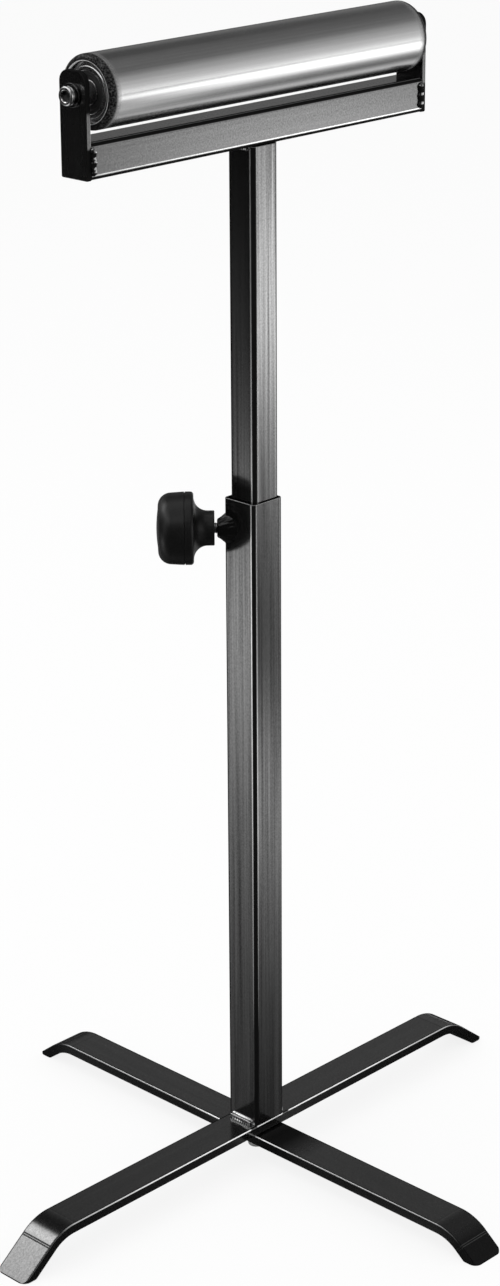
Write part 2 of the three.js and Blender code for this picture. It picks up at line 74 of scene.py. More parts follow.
# %% [markdown]
# ## Profiles with rounded corners
# Nothing on a real stand has a knife edge: tube corners are rolled, plate edges are broken, mouldings have
# fillets. A Bevel modifier could add them afterwards, but each piece needs its own radii, so they are put in the
# profile from the start. An extra point a hair beyond each arc keeps the flat next to it flat when it is shaded
# smooth.


# %% A profile whose corners are arcs
def unit(vector):
    """The vector divided by its own length."""
    vector = np.asarray(vector, float)
    return vector / np.linalg.norm(vector)


def rounded(corners, closed=True, steps=6, hair=0.1 * MM):
    """Points of a profile, and the corner that each came from.

    A corner is (x, y, radius). Its arc touches both sides at radius / tan(half the corner's angle) from the
    corner, and its points turn from the one touching point to the other about the arc's centre.
    """
    places = np.array([corner[:2] for corner in corners], float)
    run, owner = [], []
    for i, here in enumerate(places):
        radius = corners[i][2]
        ending = not closed and i in (0, len(corners) - 1)
        if ending or radius == 0:
            points = here[None]
        else:
            back = unit(places[i - 1] - here)
            on = unit(places[(i + 1) % len(places)] - here)
            half = math.acos(np.clip(back @ on, -1, 1)) / 2
            touch = radius / math.tan(half)
            centre = here + unit(back + on) * radius / math.sin(half)
            turn = math.pi - 2 * half
            share = np.linspace(0, 1, steps + 1)[:, None]
            first = np.sin((1 - share) * turn) * (here + back * touch - centre)
            last = np.sin(share * turn) * (here + on * touch - centre)
            arc = centre + (first + last) / math.sin(turn)
            points = np.vstack([here + back * (touch + hair), arc, here + on * (touch + hair)])
        run.append(points)
        owner += [i] * len(points)
    return np.vstack(run), np.array(owner)


print("a square of four arcs has", len(rounded([(0, 0, 1), (9, 0, 1), (9, 9, 1), (0, 9, 1)])[0]), "points")

# %% [markdown]
# ## From a grid of points to a mesh
# Every piece below is a grid: one parameter runs along the piece, the other round it. Blender only needs the
# points and which four neighbours make a face, so the whole mesh is filled in one call. Points that fall together
# at a pole are merged, which closes it, and edges sharper than the arcs are marked sharp.

# %% Grid to object, and object to body
SHARP = math.radians(32)
MERGE = 1e-6


def skin(name, grid, ring=True, loop=False, caps=False, **marks):
    """Object over a grid of points (rows, columns, xyz): ring joins the last column to the first, loop the last
    row to the first, and caps closes the first and last row with a flat face. Each mark, from 0 to 1 at every
    point, is kept as an attribute that a finish can read."""
    rows, columns = grid.shape[:2]
    index = np.arange(rows * columns).reshape(rows, columns)
    if ring:
        index = np.column_stack([index, index[:, 0]])
    if loop:
        index = np.vstack([index, index[:1]])
    corners = [index[:-1, :-1], index[:-1, 1:], index[1:, 1:], index[1:, :-1]]
    faces = np.stack(corners, axis=-1).reshape(-1, 4).tolist()
    if caps:
        faces += [index[0, -2::-1].tolist(), index[-1, :-1].tolist()]
    mesh = bpy.data.meshes.new(name)
    mesh.from_pydata(grid.reshape(-1, 3).tolist(), [], faces)
    for mark, values in marks.items():
        spread = np.broadcast_to(values, (rows, columns)).astype(np.float32)
        mesh.attributes.new(mark, "FLOAT", "POINT").data.foreach_set("value", spread.ravel())
    shell = bmesh.new()
    shell.from_mesh(mesh)
    bmesh.ops.remove_doubles(shell, verts=shell.verts, dist=MERGE)
    bmesh.ops.recalc_face_normals(shell, faces=shell.faces)
    shell.to_mesh(mesh)
    shell.free()
    mesh.shade_smooth()
    mesh.set_sharp_from_angle(angle=SHARP)
    piece = bpy.data.objects.new(name, mesh)
    bpy.context.scene.collection.objects.link(piece)
    return piece


def stand_for(node, piece, finish):
    """The piece hides a CAD node and rides on the node's body, in the given finish."""
    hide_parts(node)
    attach(piece, frame["nodes"][node]["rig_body"])
    piece.data.materials.append(finish)
    return piece


# %% [markdown]
# ## Finishes as formulas
# A finish is easier to read as a sum than as a web of wires. The small class below wraps a socket, and Python's
# own operators add the Math nodes. Everything else comes from one method that adds any node.


# %% A shader value and a finish
class Value:
    """One shader value: sums and products of it become Math nodes."""

    def __init__(self, finish, socket):
        self.finish = finish
        self.socket = socket

    def _math(self, operation, first, second):
        return self.finish.node("ShaderNodeMath", {"operation": operation}, {0: first, 1: second})

    def __add__(self, other):
        return self._math("ADD", self, other)

    def __radd__(self, other):
        return self._math("ADD", other, self)

    def __sub__(self, other):
        return self._math("SUBTRACT", self, other)

    def __rsub__(self, other):
        return self._math("SUBTRACT", other, self)

    def __mul__(self, other):
        return self._math("MULTIPLY", self, other)

    def __rmul__(self, other):
        return self._math("MULTIPLY", other, self)


class Finish:
    """A material that is filled node by node."""

    def __init__(self, name, world=None):
        self.owner = world or bpy.data.materials.new(name)
        self.owner.use_nodes = True
        self.tree = self.owner.node_tree
        self.tree.nodes.clear()

    def node(self, kind, settings=None, sockets=None, out=0):
        """Any node: its settings first, then a value or a link for each named socket."""
        made = self.tree.nodes.new(kind)
        for key, value in (settings or {}).items():
            setattr(made, key, value)
        for key, value in (sockets or {}).items():
            if isinstance(value, Value):
                self.tree.links.new(value.socket, made.inputs[key])
            else:
                made.inputs[key].default_value = value
        return Value(self, made.outputs[out]) if made.outputs else made

    def grain(self, cells, detail=2.0):
        """Noise about 0.5 with so many cells per metre along X, Y and Z."""
        place = self.node("ShaderNodeTexCoord", out="Object")
        scaled = self.node("ShaderNodeMapping", {}, {"Vector": place, "Scale": cells})
        return self.node("ShaderNodeTexNoise", {}, {"Vector": scaled, "Scale": 1.0, "Detail": detail})

    def mark(self, name):
        """A mark of the piece itself, 0 where it has none."""
        return self.node("ShaderNodeAttribute", {"attribute_name": name}, out="Fac")

    def relief(self, height, depth):
        """Normal of a surface that the height, from 0 to 1, raises by depth metres."""
        return self.node("ShaderNodeBump", {}, {"Height": height, "Distance": depth})

    def close(self, **sockets):
        """A Principled shader with the given sockets as the finish's surface, and the material itself."""
        named = {key.replace("_", " "): value for key, value in sockets.items()}
        shader = self.node("ShaderNodeBsdfPrincipled", {}, named)
        self.node("ShaderNodeOutputMaterial", {}, {"Surface": shader})
        return self.owner


print("operators:", [name for name in vars(Value) if name.startswith("__r")])

# %% [markdown]
# ## Black paint
# The tubes and bars are painted one satin black, sprayed over drawn steel. It is dark all through, so nearly all that
# the eye sees is the mirror of the room in its clear skin, which is a coat here. Drawing leaves lines along each tube
# that show through, and the spray leaves an orange peel of about a millimetre. Paint draws back from an edge, so the
# steel shines through in a thin line there, and it gathers dull in a rolled corner. A pale line is also painted along
# bar edges, tube rims and one crease as their highlight. The pieces mark those places, and the lines need a direction,
# so the finish is a function of it.

# %% Satin black in three directions, and the glossy black of the welds
LINES_ACROSS, LINES_ALONG = 420.0, 5.0
PEEL = 750.0


def satin_black(name, run, drawn):
    """Coat = (base + drawn times the lines along axis `run` + peel) times 1 - dull; a pale line of painted highlight
    from one mark and bare steel by the shine mark, both times a noise that breaks them; relief from peel and lines."""
    paint = Finish(name)
    broken = 0.55 + 0.6 * paint.grain([160.0] * 3, 3.0)
    # Painted highlight: a pale line along bar edges, tube rims and one crease, laid by a mark.
    highlight_line = paint.mark("wear") * broken
    bare = paint.mark("shine") * broken
    lines = paint.grain([LINES_ALONG if axis == run else LINES_ACROSS for axis in range(3)], 3.0)
    peel = paint.grain([PEEL] * 3, 2.0)
    clouds = paint.grain([22.0] * 3, 3.0)
    dull = paint.mark("dull")
    return paint.close(
        Base_Color=0.002 + 0.003 * clouds + 0.002 * lines + 0.95 * highlight_line + 0.8 * bare,
        Metallic=bare,
        Roughness=0.13 + 0.08 * lines + 0.06 * peel + 0.6 * dull,
        IOR=1.2,
        Coat_Weight=(0.83 + drawn * (lines - 0.5) + 0.9 * (peel - 0.5)) * (1.0 - dull),
        Coat_IOR=2.3,
        Coat_Roughness=0.13,
        Normal=paint.relief(0.6 * peel + 0.4 * lines, 0.02 * MM),
    )


def weld_black(name, gloss):
    """The same paint, thick where it runs over a bead or a nut, with a coat of the given gloss."""
    paint = Finish(name)
    peel = paint.grain([900.0] * 3, 3.0)
    dull = paint.mark("dull")
    return paint.close(
        Base_Color=0.002 + 0.004 * peel,
        Roughness=0.08 + 0.12 * peel + 0.6 * dull,
        IOR=1.2,
        Coat_Weight=gloss * (0.7 + 0.6 * peel) * (1.0 - dull),
        Coat_IOR=4.0,
        Coat_Roughness=0.07,
        Normal=paint.relief(peel, 0.006 * MM),
    )


paint_x = satin_black("satin_black_along_x", 0, 0.3)
paint_y = satin_black("satin_black_along_y", 1, 0.3)
paint_z = satin_black("satin_black_along_z", 2, 2.0)
paint_weld = weld_black("weld_black", 1.0)
paint_nut = weld_black("nut_black", 0.02)
print("paints:", paint_x.name, paint_y.name, paint_z.name, paint_weld.name)

# %% [markdown]
# ## Plastic, steel and rubber
# The knob is moulded in a matt black plastic with a fine spark-eroded grain. The roller is ground and drawn bright:
# its lines run along it. Its end caps are pressed from dark, oiled sheet. Screws and washers are zinc plated, which
# leaves a cloudy grey, and the bearing's seals are black rubber.


# %% The other finishes
def knob_plastic(name):
    """Dark base, rough skin, and a relief of half-millimetre grain."""
    plastic = Finish(name)
    grain = plastic.grain([1800.0] * 3, 2.0)
    clouds = plastic.grain([60.0] * 3, 2.0)
    return plastic.close(
        Base_Color=0.004 + 0.004 * clouds,
        Roughness=0.32 + 0.12 * grain,
        IOR=1.42,
        Normal=plastic.relief(grain, 0.02 * MM),
    )


def drawn_steel(name):
    """Bright metal whose tone, roughness and relief follow fine lines along X, with a few faint stains. Scale from
    the rolling darkens and roughens it by the rim mark."""
    steel = Finish(name)
    scale = steel.mark("rim")
    # Painted highlight: the mark read here lays a pale, less metallic line on the lip's edge.
    highlight_line = steel.mark("wear")
    speckle = steel.grain([900.0] * 3, 2.0)
    lines = steel.grain([2.5, 700.0, 700.0], 3.0)
    broad = steel.grain([1.2, 150.0, 150.0], 2.0)
    stains = steel.grain([30.0, 90.0, 90.0], 3.0)
    return steel.close(
        Base_Color=(0.40 + 0.10 * lines + 0.10 * broad + 0.04 * stains) * (1.0 - scale * (1.2 - 0.5 * speckle)) + 0.4 * highlight_line,
        Metallic=1.0 - 0.7 * scale - 0.9 * highlight_line,
        Roughness=0.13 + 0.08 * lines + 0.06 * stains + scale * (0.1 + 0.2 * speckle),
        IOR=1.2,
        Normal=steel.relief(0.5 * lines + 0.5 * broad, 0.004 * MM),
    )


def pressed_steel(name):
    """Oiled sheet: metal with cloudy tone and fine pits."""
    sheet = Finish(name)
    clouds = sheet.grain([120.0] * 3, 4.0)
    pits = sheet.grain([1500.0] * 3, 2.0)
    return sheet.close(
        Base_Color=0.30 + 0.40 * clouds,
        Metallic=0.97,
        Roughness=0.16 + 0.16 * pits,
        Normal=sheet.relief(pits, 0.01 * MM),
    )


def zinc_plate(name):
    """Grey plating: cloudy crystals of a millimetre over turned steel."""
    zinc = Finish(name)
    crystals = zinc.grain([700.0] * 3, 3.0)
    # The mark read here paints shade inside each screw socket and darkens the washers all over.
    return zinc.close(
        Base_Color=(0.60 + 0.25 * crystals) * (1.0 - 0.85 * zinc.mark("dirt")),
        Metallic=1.0,
        Roughness=0.20 + 0.10 * crystals,
        Normal=zinc.relief(crystals, 0.002 * MM),
    )


def galvanised(name):
    """Pale matt zinc, hardly a mirror: cloudy tone and a fine grain."""
    zinc = Finish(name)
    spangle = zinc.grain([350.0] * 3, 3.0)
    return zinc.close(
        Base_Color=0.50 + 0.25 * spangle,
        Metallic=0.25,
        Roughness=0.35 + 0.15 * spangle,
        Normal=zinc.relief(spangle, 0.01 * MM),
    )


def seal_rubber(name):
    """Black rubber with a dusty bloom."""
    rubber = Finish(name)
    bloom = rubber.grain([400.0] * 3, 4.0)
    return rubber.close(
        Base_Color=0.010 + 0.02 * bloom,
        Roughness=0.45 + 0.2 * bloom,
        Normal=rubber.relief(bloom, 0.02 * MM),
    )


plastic = knob_plastic("knob_plastic")
steel = drawn_steel("drawn_steel")
sheet_steel = pressed_steel("pressed_steel")
zinc = zinc_plate("zinc_plate")
pale_zinc = galvanised("galvanised")
rubber = seal_rubber("seal_rubber")
print("materials:", len(bpy.data.materials))

# %% [markdown]
# ## Flat bars with bent feet
# The base is two lengths of flat bar, bent down at both ends in a press and cut level with the floor. A section
# with rounded edges is carried along the bar's side view: flat, round the bend, and down the slope. Each point of
# the section slides down the slope until it meets the floor or the rounded plan of the tip, so the cut comes out of
# the same formula. The press leaves a shallow line where the bend starts and a double line across the slope.

# %% Base bars
BAR_THICKNESS = 8 * MM
BAR_EDGE = 1.2 * MM
FOOT_ANGLE = math.radians(38)
FOOT_BEND = 30 * MM
FOOT_CORNER = 6 * MM
PRESS_LINES = (0.9 * MM, 2.5 * MM)
PRESS_WIDTH = 0.35 * MM
PRESS_DEPTH = 0.22 * MM
BEND_LINE = 1 * MM
SMOKE = np.array([35, 65]) * MM
# Painted highlight along the near top edge of each bar: (distance along the bar, strength) of a pale line.
UPPER_EDGE_HIGHLIGHT = np.array([(13, 1.5), (15, 0), (20, 0), (22, 1.5), (110, 1.3), (200, 0.6)]) * (MM, 1)
LOWER_EDGE_HIGHLIGHT = np.array([(24, 1.4), (65, 0.45), (190, 0.3)]) * (MM, 1)


def notch(place, centres):
    """Sum of bell curves of the press line's width about each centre."""
    return sum(np.exp(-(((place - centre) / PRESS_WIDTH) ** 2)) for centre in centres)


def bent_bar(node, lengthwise, finish, line, near, scuffed, smoked):
    """Section point (side, depth) at row (flat, angle, slide): along = flat + (outer - depth) sin(angle) + slide
    cos(foot), up = centre + (outer - depth) cos(angle) - slide sin(foot). The slide ends at the floor or the plan,
    and a last row drops straight to the floor."""
    low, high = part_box(node)
    toe, half_width, top = high[lengthwise], high[1 - lengthwise], high[2]
    outer = FOOT_BEND + BAR_THICKNESS
    sine, cosine = math.sin(FOOT_ANGLE), math.cos(FOOT_ANGLE)
    centre = top - outer
    slope = (centre + outer * cosine) / sine
    flat = toe - outer * sine - slope * cosine

    across = half_width - FOOT_CORNER * (1 - np.sin(np.linspace(0, 1.1, 8)))
    across = np.concatenate([-across[::-1], across])
    section, _ = rounded([
        (-half_width, 0, BAR_EDGE),
        *[(side, 0, 0) for side in across],
        (half_width, 0, BAR_EDGE),
        (half_width, BAR_THICKNESS, BAR_EDGE),
        *[(side, BAR_THICKNESS, 0) for side in across[::-1]],
        (-half_width, BAR_THICKNESS, BAR_EDGE),
    ])
    side, depth = section.T
    on_edge = (near * side > half_width - BAR_EDGE) & (depth > 0.1 * BAR_EDGE) & (depth < 0.6 * BAR_EDGE)
    far_edge = (near * side < BAR_EDGE - half_width) & (depth < BAR_EDGE)
    start = flat - BEND_LINE
    near_line = start + PRESS_WIDTH * np.linspace(-2.5, 2.5, 11)
    bend = np.linspace(0, FOOT_ANGLE, 21)
    on_slope = np.concatenate([
        np.linspace(0.05 * MM, PRESS_LINES[1] + 0.9 * MM, 29),
        np.linspace(PRESS_LINES[1] + 1 * MM, slope, 12),
    ])
    level = np.concatenate([[0], np.union1d(line[:, 0], SMOKE), near_line])
    level = np.sort(level[level < near_line[-1] + MERGE])
    flats = np.concatenate([level, np.full(len(bend) + len(on_slope), flat)])
    angles = np.concatenate([np.zeros(len(level)), bend, np.full(len(on_slope), FOOT_ANGLE)])
    slides = np.concatenate([np.zeros(len(level) + len(bend)), on_slope])

    pressed = notch(flats, [start]) * (angles == 0) * 0.35 + notch(slides, PRESS_LINES)
    on_top = np.exp(-((depth / (0.5 * BAR_EDGE)) ** 2))
    sunk = depth + PRESS_DEPTH * pressed[:, None] * on_top
    past_corner = np.clip(np.abs(side) - (half_width - FOOT_CORNER), 0, FOOT_CORNER)
    plan = toe - FOOT_CORNER + np.sqrt(FOOT_CORNER**2 - past_corner**2)
    to_floor = (centre + (outer - sunk) * cosine) / sine
    to_plan = (plan - flat - (outer - sunk) * sine) / cosine
    slide = np.minimum(slides[:, None], np.minimum(to_floor, to_plan))
    along = flats[:, None] + (outer - sunk) * np.sin(angles)[:, None] + slide * cosine
    up = centre + (outer - sunk) * np.cos(angles)[:, None] - slide * sine
    along, up = np.vstack([along, along[-1:]]), np.vstack([up, np.zeros((1, len(side)))])
    before_bend = np.append(np.interp(angles, [0, FOOT_ANGLE / 2], [1, 0]), 0)[:, None]
    # Painted highlight: a pale line along the near top edge, its strength from the table, gone round the bend.
    highlight_line = before_bend * on_edge * np.interp(along, *line.T)

    half_bar = np.stack([along, np.broadcast_to(side, along.shape), up], axis=-1)
    other_half = half_bar[:0:-1] * (-1, 1, 1)
    grid = np.concatenate([other_half, half_bar])
    wear = np.concatenate([highlight_line[:0:-1], highlight_line])
    scuff = np.interp(angles, [0, FOOT_ANGLE], [0, scuffed]) * (1 - 0.4 * np.clip(pressed, 0, 1))
    worn_foot = np.maximum(np.append(scuff, scuffed)[:, None], far_edge)
    smoke = smoked * np.interp(along, SMOKE, [1, 0])
    dull = np.concatenate([np.maximum(worn_foot, smoke)[:0:-1], np.broadcast_to(worn_foot, along.shape)])
    if lengthwise == 1:
        grid = grid[..., [1, 0, 2]] * (-1, 1, 1)
    print(node, "flat", round(2 * flat / MM, 1), "mm, slope", round(slope / MM, 1), "mm")
    return stand_for(node, skin(node + "_bent", grid, caps=True, wear=wear, dull=dull), finish)


bar_upper = bent_bar("base_bar_upper", 0, paint_x, UPPER_EDGE_HIGHLIGHT, -1, 0.0, 0.0)
bar_lower = bent_bar("base_bar_lower", 1, paint_y, LOWER_EDGE_HIGHLIGHT, 1, 0.95, 1.0)

# %% [markdown]
# ## Square tubes
# Post, mast and rail are welded square tube with rolled corners and a visible wall at the open end. The same
# surface serves all three: a small profile of (inset, height) runs up the outside, over the rim and down the bore,
# and it is carried round a rounded square that shrinks by the inset.

# %% Post, mast and rail
RIM = 0.35 * MM
TUBE_WALL = 1.5 * MM
POST_CORNER = 2.9 * MM
TUBE_CORNER = 3.3 * MM
CORNER_STEPS = 12
CREASE = 4
POST_FADE = np.array([(80 * MM, 0), (240 * MM, 1.2)])
RAIL_FADE = np.array([(0, 0.9), (RIM, 0.9)])
MAST_FADE = np.array([(0, 1.1), (260 * MM, 1.1), (400 * MM, 0.4)])


def rounded_square(half, corner, inset):
    """Outline of a square of half-width half - inset, its corners drawn in by the same inset."""
    reach = half - inset
    radius = max(corner - inset, 0.4 * MM)
    signs = [(-1, -1), (1, -1), (1, 1), (-1, 1)]
    return rounded([(sx * reach, sy * reach, radius) for sx, sy in signs], steps=CORNER_STEPS, hair=0.6 * MM)[0]


def square_tube(node, axis, corner, finish, gleam, fade, crease=0.0):
    """Rounded squares at (inset, height) of a closed profile: outside, rim, bore, and back to the first rim. Steel
    gleams beside each of the four corners by `gleam`, from one length along the tube to full at the next. A pale line
    is painted as a highlight on the rim and along a crease in the last two corners."""
    low, high = np.array(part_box(node))
    across = [other for other in range(3) if other != axis]
    middle = (low + high) / 2
    half = (high - low)[across[0]] / 2
    profile, _ = rounded([
        (0, low[axis], RIM),
        *[(0, low[axis] + reach, 0) for reach, _ in fade if reach > RIM],
        (0, high[axis], RIM),
        (TUBE_WALL, high[axis], RIM),
        (TUBE_WALL, low[axis], RIM),
    ], steps=4)
    outline = np.stack([rounded_square(half, corner, inset) for inset, _ in profile])
    grid = np.empty(outline.shape[:2] + (3,))
    grid[..., across] = middle[across] + outline
    grid[..., axis] = profile[:, 1, None]
    on_rim = (profile[:, 0] < RIM) & (profile[:, 1] > high[axis] - RIM)
    steps = np.arange(-1, CORNER_STEPS + 2)
    turn = np.tile(steps, 4)
    from_flat = np.minimum(turn, CORNER_STEPS - turn)
    creased = crease * np.concatenate([0 * steps, 0 * steps, steps == CORNER_STEPS - CREASE, steps == CREASE])
    outside = (profile[:, 0] == 0)[:, None]
    # Painted highlight: a pale line on the rim's edge and along the crease.
    wear = np.maximum(on_rim[:, None] * 0.16, outside * creased)
    along = np.interp(profile[:, 1] - low[axis], *fade.T)[:, None]
    shine = outside * along * np.interp(from_flat, [-1, 0, 1, 2], [0, 1, 0.6, 0]) * np.repeat(gleam, len(steps))
    on_wall = (profile[:, 0] > 0.5 * RIM) & (profile[:, 1] > high[axis] - RIM)
    dull = np.maximum(on_wall[:, None], outside * np.interp(from_flat, [1, 2], [0, 1]))
    print(node, "section", round(2 * half / MM, 1), "mm, length", round((high - low)[axis] / MM, 1), "mm")
    return stand_for(node, skin(node + "_tube", grid, loop=True, wear=wear, shine=shine, dull=dull), finish)


post = square_tube("outer_post", 2, POST_CORNER, paint_z, (1, 0, 0, 0), POST_FADE)
mast = square_tube("inner_post", 2, TUBE_CORNER, paint_z, (1, 0, 0, 0), MAST_FADE)
rail = square_tube("head_rail", 0, TUBE_CORNER, paint_x, (1, 1, 0, 0), RAIL_FADE, crease=0.2)

# %% [markdown]
# ## End plates
# Each plate is a strip of flat steel with its upper corners sawn round and all edges broken. It is a loop of
# outlines: out from the hole on one face, over the edge, and back to the hole on the other face. The hole's points
# lie in the direction of the outline's points, so the faces between them never cross.

# %% Left and right end plate
PLATE_CORNER = 8 * MM
PLATE_EDGE = 0.6 * MM
AXLE_HOLE = 4.4 * MM
axle_centre = np.array(joint["roller_spin"]["pos_m"])


def end_plate(node):
    """Loop of outlines in the YZ plane: a circle about the axle, the plate's outline drawn in by the edge's
    rounding and moved along X, and the circle again."""
    low, high = np.array(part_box(node))
    rail_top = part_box("head_rail")[1][2]
    lit = [rail_top - 5 * MM, rail_top - 3 * MM, axle_centre[2] - 13 * MM, axle_centre[2] - 10 * MM]
    edge, _ = rounded([
        (3 * MM, low[0], 0),
        (0, low[0], PLATE_EDGE),
        (0, high[0], PLATE_EDGE),
        (3 * MM, high[0], 0),
    ], closed=False, steps=4)
    rows = []
    for inset, x in edge:
        (y0, z0), (y1, z1) = low[1:] + inset, high[1:] - inset
        top, foot = max(PLATE_CORNER - inset, MM), max(1.2 * MM - inset, 0.3 * MM)
        outline, _ = rounded([
            (y0, z0, foot), (y1, z0, foot), *[(y1, z, 0) for z in lit],
            (y1, z1, top), (y0, z1, top), *[(y0, z, 0) for z in lit[::-1]],
        ], steps=10)
        rows.append(np.column_stack([np.full(len(outline), x), outline]))
    away = rows[0][:, 1:] - axle_centre[1:]
    circle = axle_centre[1:] + AXLE_HOLE * away / np.linalg.norm(away, axis=1)[:, None]
    hole = [np.column_stack([np.full(len(circle), x), circle]) for x in (low[0], high[0])]
    grid = np.stack([hole[0], *rows, hole[1]])
    on_edge = np.concatenate([[0], edge[:, 0] < PLATE_EDGE, [0]])[:, None]
    on_face = np.concatenate([[1], edge[:, 0] > 2 * MM, [1]])[:, None]
    dull = np.maximum(on_edge * np.interp(grid[..., 2], lit, [1, 0, 0, 1]), 0.45 * on_face)
    return stand_for(node, skin(node + "_flat", grid, loop=True, dull=dull), paint_z)


plates = [end_plate("end_plate_" + name) for name in ("left", "right")]
print("plates:", [plate.name for plate in plates])

# %% [markdown]
# ## Weld beads
# A bead is a string of small pools of steel, each frozen over the edge of the last, which gives its ripples. A bump
# map would vanish in the outline, so the ripples are in the surface: an arc about the seam whose radius carries two
# ridges, a ripple along the seam that lags towards the arc's ends, and a slow unevenness of the hand.

# %% Beads at the post's foot, under the rail and at the end plates
RIPPLE_PITCH = 2.3 * MM
SUNK = 0.4 * MM


def weld_bead(node, seam_ends, out, up, sweep, lump, ridge, swell, pace, sooty, cover=0.0):
    """At share s of the seam and angle a from `out` to `up`: radius times a round end, times ridges cos(4a), a
    lagging ripple cos(s - lag) and a slow wave; a last column runs along the root, sunk in the metal."""
    start, end = np.array(seam_ends, float)
    out, up = np.array(out, float), np.array(up, float)
    low, high = np.array(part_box(node))
    radius = ((high - low) @ np.abs(up))
    length = np.linalg.norm(end - start)
    run = np.linspace(0, length, 121)[:, None]
    across = np.linspace(0, 1, 25)[None]
    from_end = np.clip(np.minimum(run, length - run) / radius, 0, 1)
    round_end = np.sqrt(1 - (1 - from_end) ** 2)
    lag = 2.2 * (2 * across - 1) ** 2
    ripple = 0.5 + 0.5 * np.cos(2 * np.pi * run / RIPPLE_PITCH + lag)
    wave = np.sin(2 * np.pi * run / pace + lump) * np.sin(3 * across + lump)
    ridges = 0.5 + 0.5 * np.cos(4 * np.pi * (across - 0.5))
    height = round_end * (1 - ridge * (1 - ridges) - 0.03 * (1 - ripple) - swell * (1 - wave))
    angle = across * sweep
    reach = radius * height
    line = start + run[..., None] * unit(end - start)
    arc = line + reach[..., None] * (np.cos(angle)[..., None] * out + np.sin(angle)[..., None] * up)
    inward = up if sweep > 2 else out + up
    root = line - SUNK * inward
    grid = np.concatenate([arc, root], axis=1)
    soot = np.clip(sooty * (cover + np.cos(2 * np.pi * run / pace + lump)), 0, 1)
    return stand_for(node, skin(node + "_bead", grid, caps=True, dull=soot), paint_weld)


beads = []
for name, side in (("left", -1), ("right", 1)):
    for node, rise in (("post_weld_" + name, 1), ("mast_weld_" + name, -1)):
        low, high = np.array(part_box(node))
        wall = high[0] if side < 0 else low[0]
        flat = low[2] if rise > 0 else high[2]
        seam = [(wall, low[1], flat), (wall, high[1], flat)]
        beads.append(weld_bead(node, seam, (side, 0, 0), (0, 0, rise), math.pi / 2, side + rise, 0.12, 0.05, 19 * MM, 0.0))
    for facing, way in (("front", -1), ("back", 1)):
        node = f"plate_weld_{name}_{facing}"
        low, high = np.array(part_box(node))
        face = high[1] if way < 0 else low[1]
        middle = (low[0] + high[0]) / 2
        seam = [(middle, face, low[2]), (middle, face, high[2])]
        beads.append(weld_bead(node, seam, (side, 0, 0), (0, way, 0), math.pi, way, 0.0, 0.10, 6.5 * MM, 3.0, 0.8 * (side > 0)))
print("beads:", len(beads))

# %% [markdown]
# ## Turned pieces
# Roller, caps, bearings, bushes, washers, screws and knob are all a profile turned about an axis. The Screw modifier
# could do it, but then the hexagon socket of a screw would need a cut. Here the radius of chosen corners is
# multiplied by a hexagon's radius at that angle, so socket and head are one surface.


# %% Turning a profile about an axis
def axis_at(origin, direction):
    """Origin and three axes, the third along the direction and the second as near upright as it can be."""
    third = unit(direction)
    upright = (0, 1, 0) if abs(third[2]) > 0.9 else (0, 0, 1)
    first = unit(np.cross(upright, third))
    return np.array(origin, float), np.stack([first, np.cross(third, first), third])


def extent(node, axis):
    """Start and end of a CAD node along an axis, and its largest radius about it."""
    origin, basis = axis
    points = np.empty(3 * len(frame["nodes"][node].data.vertices))
    frame["nodes"][node].data.vertices.foreach_get("co", points)
    local = (points.reshape(-1, 3) - origin) @ basis.T
    return local[:, 2].min(), local[:, 2].max(), np.linalg.norm(local[:, :2], axis=1).max()


def hexagon(angle):
    """Radius at an angle of a hexagon whose flats are at radius 1."""
    return 1 / np.cos(np.mod(angle, math.pi / 3) - math.pi / 6)


def turned(node, axis, corners, finish, closed=True, sides=96, flats=0, steps=6, **marks):
    """Profile (radius, height) at every angle about the axis; the first `flats` corners follow a hexagon. A mark is a
    function of radius and height."""
    origin, basis = axis
    profile, owner = rounded(corners, closed, steps)
    angle = np.linspace(0, 2 * math.pi, sides, endpoint=False)
    shape = np.where((owner < flats)[:, None], hexagon(angle), 1.0)
    reach = profile[:, :1] * shape
    height = np.broadcast_to(profile[:, 1:], reach.shape)
    grid = np.stack([reach * np.cos(angle), reach * np.sin(angle), height], axis=-1) @ basis + origin
    values = {name: mark(*profile.T)[:, None] for name, mark in marks.items()}
    return stand_for(node, skin(node + "_turned", grid, loop=closed, **values), finish)


roller_axis = axis_at(axle_centre, joint["roller_spin"]["axis"])
knob_axis = axis_at(joint["knob_turn"]["pos_m"], joint["knob_turn"]["axis"])
pivot_axis = axis_at(joint["cross_bar_swing"]["pos_m"], joint["cross_bar_swing"]["axis"])
print("roller from", np.round(extent("roller_tube", roller_axis), 4).tolist())

# %% [markdown]
# ## The roller
# A tube of two millimetres, its ends rolled in over pressed caps. The cap is a dish with a raised land round the
# bearing. Inside it sits a sealed bearing on the axle, and a bush keeps the roller clear of the end plate. The left
# end faces the camera, and its rings of light are the part of the stand that takes the most skill.

# %% Roller tube
ROLLER_WALL = 2 * MM
ROLLER_BEND = 3.5 * MM
LIP_DEPTH = 4.5 * MM
LIP_EDGE = 0.4 * MM
LIP_FACE = 0.8 * MM
first_end, last_end, roller_radius = extent("roller_tube", roller_axis)
lip = roller_radius - LIP_DEPTH
bore = roller_radius - ROLLER_WALL
inner_bend = ROLLER_BEND - ROLLER_WALL
ROLLED = ROLLER_BEND + np.array([0.2, 2.2, 5.5]) * MM


def rolled_mark(radius, height):
    """1 on the rolled end, falling to 0 along the tube."""
    from_end = np.minimum(height - first_end, last_end - height)
    return np.interp(from_end, ROLLED, [1.0, 0.35, 0.0]) * (1 - lip_mark(radius, height))


def lip_mark(radius, height):
    """1 on the edge of the lip: a pale line painted there as its highlight, where the rolling has also burnished it.
    """
    return np.interp(radius, [lip + LIP_EDGE, lip + LIP_EDGE + 0.1 * MM], [1.0, 0.0])


